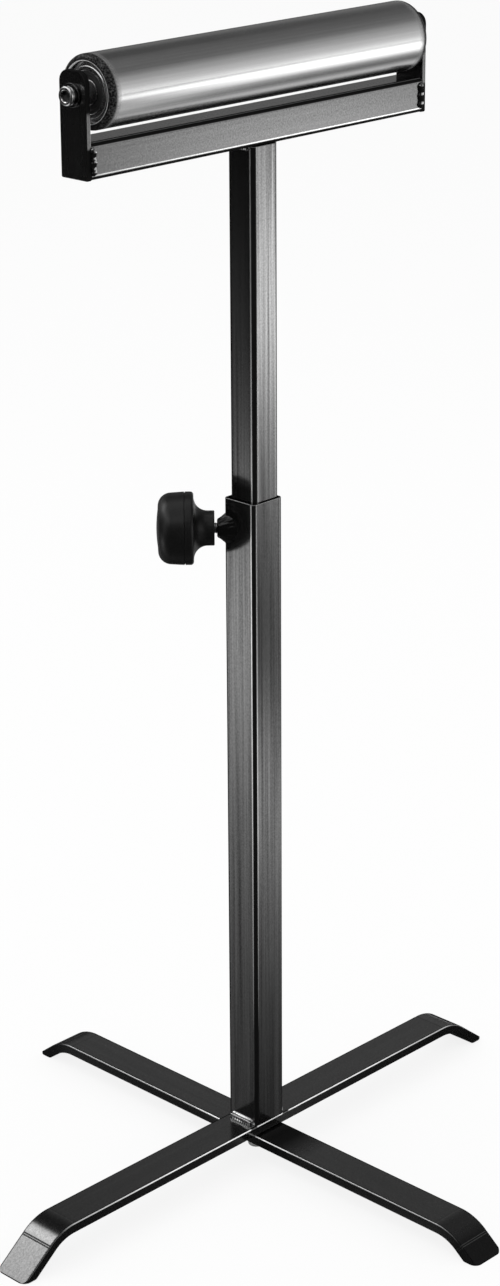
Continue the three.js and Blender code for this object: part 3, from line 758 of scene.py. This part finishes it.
roller = turned("roller_tube", roller_axis, [
    (lip, first_end, LIP_EDGE),
    (lip + LIP_FACE, first_end, 0),
    (roller_radius, first_end, ROLLER_BEND),
    *[(roller_radius, first_end + reach, 0) for reach in ROLLED],
    *[(roller_radius, last_end - reach, 0) for reach in ROLLED[::-1]],
    (roller_radius, last_end, ROLLER_BEND),
    (lip + LIP_FACE, last_end, 0),
    (lip, last_end, LIP_EDGE),
    (lip, last_end - ROLLER_WALL, 0.3 * MM),
    (bore, last_end - ROLLER_WALL, inner_bend),
    (bore, first_end + ROLLER_WALL, inner_bend),
    (lip, first_end + ROLLER_WALL, 0.3 * MM),
], steel, sides=160, rim=rolled_mark, wear=lip_mark)
print("roller:", len(roller.data.polygons), "faces")

# %% Caps, bearings, bushes, washers and screws at both ends
CAP_WALL = 1.5 * MM
CAP_EDGE = 0.4 * MM
CAP_WEB = 4 * MM
CAP_LAND = 3.6 * MM
SEAL_DISH = 0.5 * MM
RACE = 2.2 * MM
SOCKET_DEPTH = 3 * MM
SCREW_EDGE = 1.1 * MM
AXLE_SOCKET = 3.6 * MM
FLANGE = np.array([(0, 1.9), (-1.1, 2.3), (-1.1, 2.7), (-0.2, 2.9), (-0.2, 3.7), (-2.0, 4.0)]) * MM
SCREW_SHANK = 4 * MM


def ring_of(node, axis, bore, edge, finish, **marks):
    """A plain ring between its bore and the node's own radius, with broken edges."""
    start, end, radius = extent(node, axis)
    corners = [(bore, start, edge), (radius, start, edge), (radius, end, edge), (bore, end, edge)]
    return turned(node, axis, corners, finish, sides=64, **marks)


def oily(radius, height):
    """1 all over: dark with oil."""
    return np.ones_like(radius)


def socket_screw(node, axis, head, finish, socket, flange=()):
    """Socket floor, socket rim, rounded head, an optional flange, shank: the socket's corners follow a hexagon. The
    head is where the axis starts."""
    start, end, radius = extent(node, axis)

    def dirt(reach, height):
        """Painted shade inside the socket."""
        return 0.75 * ((reach < 1.2 * socket) & (height > start + 0.4 * MM) & (height < start + head))

    return turned(node, axis, [
        (0, start + SOCKET_DEPTH, 0),
        (socket, start + SOCKET_DEPTH, 0),
        (socket, start + 0.5 * MM, 0),
        (socket * 1.16, start, 0.5 * MM),
        (radius, start, SCREW_EDGE),
        *[(radius + grown, start + below, 0.2 * MM) for grown, below in flange],
        (SCREW_SHANK + 0.3 * MM if len(flange) else radius, start + head, 0.2 * MM),
        (SCREW_SHANK, start + head, 0),
        (SCREW_SHANK, end, 0.5 * MM),
        (0, end, 0),
    ], finish, closed=False, sides=96, flats=3, dirt=dirt)


def roller_end(name, outward):
    """Cap, bearing, bush, washer and screw, measured along an axis that points out of this end."""
    axis = axis_at(axle_centre, (outward, 0, 0))
    back, front, skirt = extent("roller_cap_" + name, axis)
    inside, face, bearing = extent("bearing_shell_" + name, axis)
    web = last_end - CAP_WEB
    cup = bearing + 0.1 * MM
    turned("roller_cap_" + name, axis, [
        (bearing - RACE, back, CAP_EDGE),
        (cup + CAP_WALL, back, CAP_EDGE),
        (cup + CAP_WALL, web - CAP_WALL, CAP_EDGE),
        (skirt - CAP_WALL, web - CAP_WALL, CAP_EDGE),
        (skirt - CAP_WALL, web - 10 * MM, CAP_EDGE),
        (skirt, web - 10 * MM, CAP_EDGE),
        (skirt, web, CAP_WALL),
        (cup + CAP_LAND, web, 0.5 * MM),
        (cup + CAP_LAND, front, CAP_WALL),
        (cup, front, CAP_EDGE),
        (cup, inside - 0.1 * MM, CAP_EDGE),
        (bearing - RACE, inside - 0.1 * MM, CAP_EDGE),
    ], sheet_steel, sides=128)
    race_radius = extent("bearing_race_" + name, axis)[2]
    lip_radius = race_radius + 0.3 * MM
    seal_edge = bearing - RACE
    turned("bearing_shell_" + name, axis, [
        (lip_radius, inside, 0.2 * MM),
        (bearing, inside, 0.5 * MM),
        (bearing, face, 0.5 * MM),
        (seal_edge, face, 0.2 * MM),
        (seal_edge - 0.4 * MM, face - SEAL_DISH, 0.2 * MM),
        (lip_radius, face - SEAL_DISH, 0.2 * MM),
        (lip_radius, face - SEAL_DISH - 0.6 * MM, 0.2 * MM),
        (seal_edge, face - SEAL_DISH - 0.6 * MM, 0.2 * MM),
        (seal_edge, inside + 0.8 * MM, 0.2 * MM),
        (lip_radius, inside + 0.8 * MM, 0.2 * MM),
    ], rubber, sides=96)
    journal = race_radius - RACE
    ring_of("bearing_race_" + name, axis, journal, 0.3 * MM, zinc)
    ring_of("axle_bush_" + name, axis, journal, 0.3 * MM, zinc)
    ring_of("axle_washer_" + name, axis, AXLE_HOLE, 0.3 * MM, zinc, dirt=oily)
    inward = axis_at(axle_centre, (-outward, 0, 0))
    socket_screw("axle_screw_" + name, inward, 5 * MM, zinc, AXLE_SOCKET, FLANGE)
    print(name, "cap skirt", round(skirt / MM, 1), "mm, bearing", round(2 * bearing / MM, 1), "mm")


roller_end("left", -1)
roller_end("right", 1)

# %% [markdown]
# ## Bolts and nuts of the base and the clamp
# The pivot bolt's round head shows under the crossing. The clamp nut sits point up on the post's corner: a hexagon
# whose ends are turned to a cone, which is simply the smaller of two radii at every angle and height. The stud is a
# real thread: its radius follows the height minus the share of a turn.

# %% Pivot bolt, clamp nut and clamp stud
NUT_CHAMFER = 0.8 * MM
THREAD_PITCH = 1.25 * MM
THREAD_DEPTH = 0.6 * MM

socket_screw("pivot_bolt", pivot_axis, 8 * MM, pale_zinc, 3 * MM)
ring_of("pivot_washer", pivot_axis, AXLE_HOLE, 0.3 * MM, pale_zinc)


def hex_nut(node, axis, finish):
    """Radius at an angle and height: the smaller of the hexagon and of a cone that starts at each face."""
    origin, basis = axis
    start, end, corner = extent(node, axis)
    flat = corner * math.cos(math.pi / 6)
    angle = np.linspace(0, 2 * math.pi, 120, endpoint=False)
    height = np.concatenate([[start], np.linspace(start, end, 40), [end]])[:, None]
    from_face = np.minimum(height - start, end - height)
    cone = corner - 2 * NUT_CHAMFER + 2 * from_face
    reach = np.minimum(flat * hexagon(angle), cone)
    reach[[0, -1]] = SCREW_SHANK + 0.1 * MM
    shape = np.stack([reach * np.sin(angle), reach * np.cos(angle), np.broadcast_to(height, reach.shape)], axis=-1)
    return stand_for(node, skin(node + "_hex", shape @ basis + origin, loop=True), finish)


def threaded_rod(node, axis, finish):
    """Radius = rod minus thread depth times a wave of (height / pitch - share of a turn), tapered at both ends."""
    origin, basis = axis
    start, end, radius = extent(node, axis)
    angle = np.linspace(0, 2 * math.pi, 48, endpoint=False)
    height = np.linspace(start, end, 420)[:, None]
    wave = 0.5 + 0.5 * np.cos(2 * math.pi * height / THREAD_PITCH - angle)
    taper = np.clip(np.minimum(height - start, end - height) / THREAD_PITCH, 0, 1)
    reach = radius - THREAD_DEPTH * np.maximum(wave, 1 - taper)
    grid = np.stack([reach * np.cos(angle), reach * np.sin(angle), np.broadcast_to(height, reach.shape)], axis=-1)
    return stand_for(node, skin(node + "_thread", grid @ basis + origin, caps=True), finish)


nut = hex_nut("clamp_nut", knob_axis, paint_nut)
stud = threaded_rod("clamp_stud", knob_axis, zinc)
print("nut faces:", len(nut.data.polygons), "stud faces:", len(stud.data.polygons))

# %% [markdown]
# ## The weld of the clamp nut
# The nut stands on the post's corner, so its weld runs down both sides of the corner. Its foot is an ellipse laid on
# the corner, its top is a ring round the nut, and a curve that sags like a fillet joins them. Slow lumps and a ripple
# round it keep it from looking turned.

# %% Collar of weld round the clamp nut
COLLAR_ALONG = 12.0 * MM
COLLAR_ACROSS = 9.3 * MM


def nut_collar(node):
    """From foot (share 0) to top (share 1): radius falls from the ellipse to the nut's ring, height above the axis
    origin climbs from the post's corner to just under the nut's face, along a slightly sagging curve."""
    origin, basis = knob_axis
    start, end, _ = extent(node, knob_axis)
    nut_face = extent("clamp_nut", knob_axis)[1]
    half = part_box("outer_post")[1][0]
    inner = half - POST_CORNER
    base = np.linalg.norm(origin[:2])
    angle = np.linspace(0, 2 * math.pi, 144, endpoint=False)[None]
    share = np.linspace(0, 1, 28)[:, None]
    lumps = 1 + 0.05 * np.sin(3 * angle + 0.6) + 0.04 * np.sin(7 * angle + 1.9) + 0.02 * np.cos(23 * angle)
    across = COLLAR_ACROSS * np.cos(angle) * lumps
    upright = COLLAR_ALONG * np.sin(angle) * lumps
    beside = np.abs(across)
    round_corner = inner * math.sqrt(2) + np.sqrt(np.clip(POST_CORNER**2 - beside**2, 0, None))
    on_post = np.where(beside < POST_CORNER / math.sqrt(2), round_corner, half * math.sqrt(2) - beside)
    foot = on_post - base - SUNK
    top = nut_face - 1.6 * NUT_CHAMFER
    ring = 7.3 * MM
    fall = 1 - share
    climb = share**1.3
    width = across * fall + ring * np.cos(angle) * (1 - fall)
    tall = upright * fall + ring * np.sin(angle) * (1 - fall)
    ripple = 0.15 * MM * np.sin(share * math.pi) * np.cos(31 * angle + 9 * share)
    height = foot * (1 - climb) + top * climb + ripple
    grid = np.stack([width, tall, height], axis=-1)
    inner_ring = np.stack([6 * MM * np.cos(angle), 6 * MM * np.sin(angle), np.full_like(angle, top)], axis=-1)
    inner_foot = np.stack([6 * MM * np.cos(angle), 6 * MM * np.sin(angle), np.minimum(foot, start)], axis=-1)
    grid = np.concatenate([grid, inner_ring, inner_foot])
    return stand_for(node, skin(node + "_collar", grid @ basis + origin, loop=True), paint_nut)


collar = nut_collar("clamp_nut_weld")
print("collar faces:", len(collar.data.polygons))

# %% [markdown]
# ## The knob
# Two mouldings meet at a thin groove: a body with a neck that flares into a ring, and a cap with a generous edge and a
# slightly domed face. Both are turned. The cap's face is a run of points on a parabola instead of arcs.

# %% Knob body and cap
NECK_RADIUS = 12.7 * MM
NECK_LENGTH = 15 * MM
NECK_FILLET = 10 * MM
RING_EDGE = 2.3 * MM
SEAM = 0.5 * MM
GROOVE = 0.8 * MM
CAP_CORNER = 9.6 * MM
CAP_DRAFT = 1.2 * MM
CAP_DOME = 1.3 * MM
CAP_SKIN = 2.5 * MM

neck_end, spigot_end, knob_radius = extent("knob_body", knob_axis)
cap_rim, cap_top, _ = extent("knob_cap", knob_axis)
stud_end = extent("clamp_stud", knob_axis)[1]
ring_back = neck_end + NECK_LENGTH
ring_front = cap_rim - SEAM
cap_inner = knob_radius - CAP_DRAFT - CAP_SKIN
knob_body = turned("knob_body", knob_axis, [
    (0, stud_end + 0.1 * MM, 0),
    (SCREW_SHANK + 0.1 * MM, stud_end + 0.1 * MM, 0.2 * MM),
    (SCREW_SHANK + 0.1 * MM, neck_end, 0.3 * MM),
    (NECK_RADIUS, neck_end, 0.7 * MM),
    (NECK_RADIUS, ring_back, NECK_FILLET),
    (knob_radius, ring_back, RING_EDGE),
    (knob_radius, ring_front, 0.3 * MM),
    (knob_radius - GROOVE, ring_front, 0.1 * MM),
    (knob_radius - GROOVE, cap_rim - 0.02 * MM, 0.1 * MM),
    (cap_inner - 0.1 * MM, cap_rim - 0.02 * MM, 0.2 * MM),
    (cap_inner - 0.1 * MM, spigot_end, 0.5 * MM),
    (0, spigot_end, 0),
], plastic, closed=False, sides=128, steps=12)

face_radius = knob_radius - CAP_DRAFT - CAP_CORNER
share = np.linspace(1, 0, 12)[1:]
dome = [(face_radius * s, cap_top - CAP_DOME * s**2, 0) for s in share]
cap_edge = cap_top - CAP_DOME
knob_cap = turned("knob_cap", knob_axis, [
    (0, cap_top - CAP_SKIN, 0),
    (cap_inner, cap_edge - CAP_SKIN, CAP_CORNER - CAP_SKIN),
    (cap_inner, cap_rim, 0.3 * MM),
    (knob_radius, cap_rim, 0.3 * MM),
    (knob_radius - CAP_DRAFT, cap_edge, CAP_CORNER),
    *dome,
], plastic, closed=False, sides=128, steps=12)
print("knob length", round((cap_top - neck_end) / MM, 1), "mm, radius", round(knob_radius / MM, 1), "mm")

# %% [markdown]
# ## The nodes that stay
# Axle, spacer and pivot nut hide inside the stand. Their solids are right as they are and only take a finish.

# %% Finish for the nodes that are kept
for node in ("axle", "base_spacer", "pivot_nut"):
    frame["nodes"][node].data.materials.clear()
    frame["nodes"][node].data.materials.append(zinc)
print("kept:", [name for name, item in frame["nodes"].items() if not item.hide_render])

# %% [markdown]
# ## Camera
# The straight edges in the photograph fix the camera: where it stands, how it is turned, and how long its lens is.
# The picture was cropped, which a small upward shift repeats.

# %% Camera of the photograph
PICTURE_WIDTH, PICTURE_HEIGHT = 500, 1286
FOCAL_PIXELS = 2972.1
CENTRE_ROW = 614.5
CAMERA_PLACE = (-1.46166, -1.41235, 1.18650)
AZIMUTH, PITCH, ROLL = (math.radians(angle) for angle in (-45.907, 20.136, -0.336))
SENSOR = 36.0

flat_right = np.array([math.cos(AZIMUTH), math.sin(AZIMUTH), 0])
backward = np.array([
    math.sin(AZIMUTH) * math.cos(PITCH),
    -math.cos(AZIMUTH) * math.cos(PITCH),
    math.sin(PITCH),
])
flat_up = np.cross(backward, flat_right)
right = math.cos(ROLL) * flat_right + math.sin(ROLL) * flat_up
upward = -math.sin(ROLL) * flat_right + math.cos(ROLL) * flat_up


def placed(place, axes):
    """Matrix of an object at a place whose own X, Y and Z run along the three axes."""
    pose = np.eye(4)
    pose[:3] = np.column_stack([*axes, place])
    return Matrix(pose.tolist())


lens = bpy.data.cameras.new("camera")
lens.sensor_fit = "AUTO"
lens.sensor_width = SENSOR
lens.lens = SENSOR * FOCAL_PIXELS / PICTURE_HEIGHT
lens.shift_y = (CENTRE_ROW - PICTURE_HEIGHT / 2) / PICTURE_HEIGHT
camera = bpy.data.objects.new("camera", lens)
camera.matrix_world = placed(CAMERA_PLACE, [right, upward, backward])
bpy.context.scene.collection.objects.link(camera)
bpy.context.scene.camera = camera
bpy.context.scene.view_settings.view_transform = "Standard"
print("lens", round(lens.lens, 2), "mm, shift", round(lens.shift_y, 4))

# %% [markdown]
# ## Floor, world and lamps
# The floor is white paper. For the camera and for mirrors it glows a little, so that it reads white like the
# background and still keeps a soft shadow. The lamps are wide and plain. They are hidden from mirrors, because what
# the paint mirrors is laid out in the next step.

# %% Paper floor, white world and soft lamps
FLOOR_SIZE = 60.0
PAPER_GLOW = 0.85


def seen_directly(finish):
    """1 for rays from the camera and for mirrored or passing rays, 0 for the light that falls on things."""
    paths = [finish.node("ShaderNodeLightPath", out=kind)
             for kind in ("Is Camera Ray", "Is Glossy Ray", "Is Transmission Ray")]
    return paths[0] + paths[1] + paths[2]


paper = Finish("paper")
fibre = paper.grain([300.0] * 3, 3.0)
matt = paper.node("ShaderNodeBsdfDiffuse", {}, {"Color": 0.9 + 0.03 * fibre})
glow = paper.node("ShaderNodeEmission", {}, {"Color": (1, 1, 1, 1), "Strength": 1.0})
both = paper.node("ShaderNodeMixShader", {}, {0: PAPER_GLOW * seen_directly(paper), 1: matt, 2: glow})
paper.node("ShaderNodeOutputMaterial", {}, {"Surface": both})

span = np.linspace(-FLOOR_SIZE, FLOOR_SIZE, 3)
floor_grid = np.stack(np.meshgrid(span, span, [0.0]), axis=-1)[:, :, 0]
floor = skin("floor", floor_grid, ring=False)
floor.data.materials.append(paper.owner)

scene_world = bpy.data.worlds.new("studio")
bpy.context.scene.world = scene_world
sky = Finish("studio", scene_world)
backdrop = sky.node("ShaderNodeBackground", {}, {"Color": (1, 1, 1, 1), "Strength": 1.0})
fill = sky.node("ShaderNodeBackground", {}, {"Color": (1, 1, 1, 1), "Strength": 0.8})
either = sky.node("ShaderNodeMixShader", {}, {0: seen_directly(sky), 1: fill, 2: backdrop})
sky.node("ShaderNodeOutputWorld", {}, {"Surface": either})


def soft_lamp(name, place, target, size, power):
    """A square lamp at a place that faces a target, not seen in mirrors."""
    light = bpy.data.lights.new(name, "AREA")
    light.size = size
    light.energy = power
    lamp = bpy.data.objects.new(name, light)
    lamp.matrix_world = placed(*axis_at(place, np.subtract(place, target)))
    lamp.visible_glossy = False
    bpy.context.scene.collection.objects.link(lamp)
    return lamp


soft_lamp("lamp_top", (-0.6, 1.2, 3.0), (0, 0, 0.4), 2.4, 26.0)
soft_lamp("lamp_right", (2.2, -1.6, 1.6), (0, 0, 0.4), 1.6, 9.0)
print("floor", FLOOR_SIZE * 2, "m wide")

# %% [markdown]
# ## What the paint mirrors
# Black paint and bright steel are lit by what they mirror. A photographer therefore surrounds them with dim walls, a
# few soft panels, and pools of light on the floor. Here that is a dome and a disc whose brightness is a smooth field,
# worked out at every point of a grid and read by the glow as an attribute. Only mirrored rays see them.

# %% Dome and floor pools
DOME_RADIUS = 6.0
POOL_RADIUS = 6.2
RIGHT_FRONT, LEFT_BACK, LEFT = 316, 136, 168


def bell(value, centre, width):
    """A bell curve of the value about the centre."""
    return np.exp(-(((value - centre) / width) ** 2))


def swing(angle, centre, width):
    """A bell curve of the turn, in degrees, between an angle and a centre."""
    return bell((angle - centre + 180) % 360 - 180, 0, width)


def mirror_card(name, grid, level):
    """A surface seen only in mirrors, whose glow is the level at each grid point."""
    card = skin(name, grid, ring=False)
    places = np.empty(3 * len(card.data.vertices))
    card.data.vertices.foreach_get("co", places)
    glow = card.data.attributes.new("glow", "FLOAT", "POINT")
    glow.data.foreach_set("value", level(*places.reshape(-1, 3).T).astype(np.float32))
    shine = Finish(name)
    amount = shine.node("ShaderNodeAttribute", {"attribute_name": "glow"}, out="Fac")
    lit = shine.node("ShaderNodeEmission", {}, {"Color": amount, "Strength": 1.0})
    shine.node("ShaderNodeOutputMaterial", {}, {"Surface": lit})
    shine.owner.cycles.emission_sampling = "NONE"
    card.data.materials.append(shine.owner)
    for ray in ("camera", "diffuse", "transmission", "volume_scatter", "shadow"):
        setattr(card, "visible_" + ray, False)
    return card


def step(value, edge, width):
    """0 below the edge, 1 above it, with a soft change of the given width."""
    return 0.5 + 0.5 * np.tanh((value - edge) / width)


def dome_level(x, y, z):
    """Dim room, a panel low on the right, a key panel high on the left at the back, and a strip on the left."""
    turn = np.degrees(np.arctan2(y, x)) % 360
    rise = np.degrees(np.arctan2(z, np.hypot(x, y)))
    room = 0.01 + 0.16 * swing(turn, -20, 55) + 0.16 * swing(turn, 46, 30) * bell(rise, 24, 14)
    panel = 0.86 * bell(rise, 0, 28) + 0.14 * step(-rise, -38, 1.5) + 0.8 * bell(rise, 0.5, 4.2)
    key = 4.2 * step(turn, 97, 4) * step(-turn, -124, 4) * bell(rise, 44, 14)
    key = key + 3.0 * step(turn, 124, 4) * step(-turn, -212, 6) * bell(rise, 47, 7)
    glint = 0.06 * swing(turn, LEFT_BACK, 14) * bell(rise, 27, 9)
    strip = 0.9 * swing(turn, LEFT, 14) * bell(rise, 18, 14)
    walls = 0.5 * (swing(turn, 88, 13) + swing(turn, 268, 14)) * bell(rise, 8, 26) + 0.8 * step(rise, 64, 5)
    return room + panel * swing(turn, RIGHT_FRONT, 38) + key + glint + strip + walls


def pool_level(x, y, z):
    """Pools of light on the floor: far and near on the right, one on the left, and two narrow ones at the corner."""
    turn = np.degrees(np.arctan2(y, x))
    away = np.hypot(x, y)
    far = 3.95 * bell(np.minimum(away, 2.7), 2.7, 0.65) * bell(np.maximum(away, 2.7), 2.7, 2.0)
    near = 1.0 * bell(away, 0.7, 0.28) + 0.10 * bell(away, 0.3, 0.25) + 0.04
    left = 1.42 * bell(away, 1.2, 0.55) + 0.20 * bell(away, 0.38, 0.42) + 0.13 * bell(away, 2.1, 0.8)
    pools = far * swing(turn, 319, 8) + near * swing(turn, RIGHT_FRONT, 16) + left * swing(turn, LEFT_BACK, 11)
    strips = 1.2 * left * swing(turn, 153, 7) + 0.5 * bell(away, 1.0, 0.45) * swing(turn, 301, 7)
    bands = 1.9 * bell(y, -1.08, 0.38) + 0.12 * bell(y, -0.4, 0.25) + 0.85 * bell(y, -0.02, 0.2 + 0.03 * np.sign(y))
    side = bands * step(turn, -42.6, 1.0) * step(x, 0.5, 0.06)
    front = 2.2 * step(turn, -29, 4) * step(-turn, -40, 5) * bell(away, 4.5, 1.1)
    walls = 0.4 * (swing(turn, 88, 12) + swing(turn, 270, 12)) * bell(away, 1.6, 1.3)
    back = 1.1 * swing(turn, 45, 14) * step(away, 0.7, 0.15) * step(-away, -3.2, 0.5)
    return 0.005 + 0.04 * bell(away, 0, 0.2) + pools + strips + side + front + walls + back


turns = np.linspace(0, 2 * math.pi, 181)[None]
rises = np.linspace(0, math.pi / 2, 46)[:, None]
dome_grid = DOME_RADIUS * np.stack([
    np.cos(rises) * np.cos(turns),
    np.cos(rises) * np.sin(turns),
    np.sin(rises) * np.ones_like(turns),
], axis=-1)
away = POOL_RADIUS * np.linspace(0, 1, 101)[:, None] ** 1.5
pool_grid = np.stack([away * np.cos(turns), away * np.sin(turns), np.full((101, 181), 0.5 * MM)], axis=-1)
dome_card = mirror_card("mirror_dome", dome_grid, dome_level)
pool_card = mirror_card("mirror_pools", pool_grid, pool_level)
print("dome", len(dome_card.data.vertices), "points, pools", len(pool_card.data.vertices), "points")
